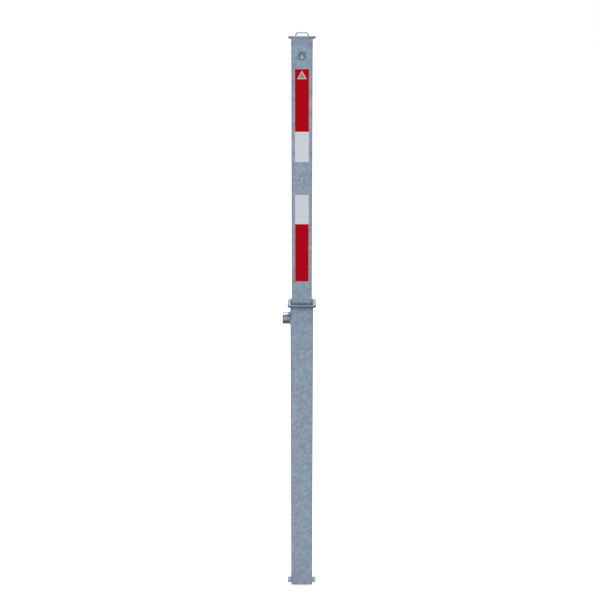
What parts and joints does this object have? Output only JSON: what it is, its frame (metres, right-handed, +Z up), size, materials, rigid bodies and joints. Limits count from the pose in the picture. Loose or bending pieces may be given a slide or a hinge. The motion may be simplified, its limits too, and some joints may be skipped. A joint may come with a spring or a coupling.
{
  "type": "retractable bollard",
  "caption": "Square galvanised post that slides down into a square ground sleeve, with a triangular key lock, a folding bail on its lid and red and white film on its front.",
  "frame": {"origin": "on the post's axis, level with the ground and with the top of the flange plate", "axes": "+Z up along the post, -Y the front with the lock and the film, -X the side with the bolt pocket"},
  "size_m": [0.1215, 0.1, 2.0275],
  "materials": {
    "galvanised_steel": "hot-dip galvanised, matt with a faint spangle",
    "bright_steel": "zinc-plated bright steel",
    "black_polyamide": "moulded, matt black",
    "red_reflective_film": "retroreflective sheeting, red",
    "white_reflective_film": "retroreflective sheeting, white"
  },
  "bodies": {
    "sleeve": {"ground_sleeve": "galvanised_steel", "flange_plate": "galvanised_steel", "bolt_pocket_tube": "galvanised_steel", "bolt_pocket_cap": "galvanised_steel", "anchor_bar": "galvanised_steel", "guide_bush": "black_polyamide", "stop_strip_left": "galvanised_steel", "stop_strip_right": "galvanised_steel"},
    "post": {"post_tube": "galvanised_steel", "lid_plate": "galvanised_steel", "handle_pan": "galvanised_steel", "lock_cup": "galvanised_steel", "spindle_bridge": "galvanised_steel", "rack_pad": "black_polyamide", "bolt_block": "galvanised_steel", "rod_guide": "galvanised_steel", "guide_screw": "bright_steel", "guide_shoe": "black_polyamide", "film_upper_red": "red_reflective_film", "film_upper_white": "white_reflective_film", "film_lower_white": "white_reflective_film", "film_lower_red": "red_reflective_film"},
    "bail": {"lift_bail": "bright_steel"},
    "rod": {"rack_bar": "bright_steel", "pull_rod": "bright_steel", "rod_fork": "galvanised_steel", "fork_pin": "bright_steel", "cam_plate": "galvanised_steel"},
    "spindle": {"key_spindle": "bright_steel", "drive_pinion": "bright_steel", "spindle_circlip": "bright_steel"},
    "bolt": {"lock_bolt": "bright_steel", "cross_pin": "bright_steel"}
  },
  "joints": [
    {"name": "post_slide", "type": "slide", "parent": "sleeve", "child": "post", "axis": [0, 0, 1], "range_m": [-0.8932, 0]},
    {"name": "bail_hinge", "type": "hinge", "parent": "post", "child": "bail", "pos_m": [0, -0.014, 0.8985], "axis": [1, 0, 0], "range_deg": [-30, 60]},
    {"name": "rod_slide", "type": "slide", "parent": "post", "child": "rod", "axis": [0, 0, -1], "range_m": [0, 0.01414]},
    {"name": "spindle_turn", "type": "hinge", "parent": "post", "child": "spindle", "pos_m": [0, 0, 0.836], "axis": [0, 1, 0], "range_deg": [0, 90]},
    {"name": "bolt_slide", "type": "slide", "parent": "post", "child": "bolt", "axis": [-1, 0, 0], "range_m": [0, 0.01414]}
  ],
  "couplings": [
    {"joint": "spindle_turn", "follows": "rod_slide", "rad_per_m": 111.11},
    {"joint": "bolt_slide", "follows": "rod_slide", "ratio": 1}
  ]
}
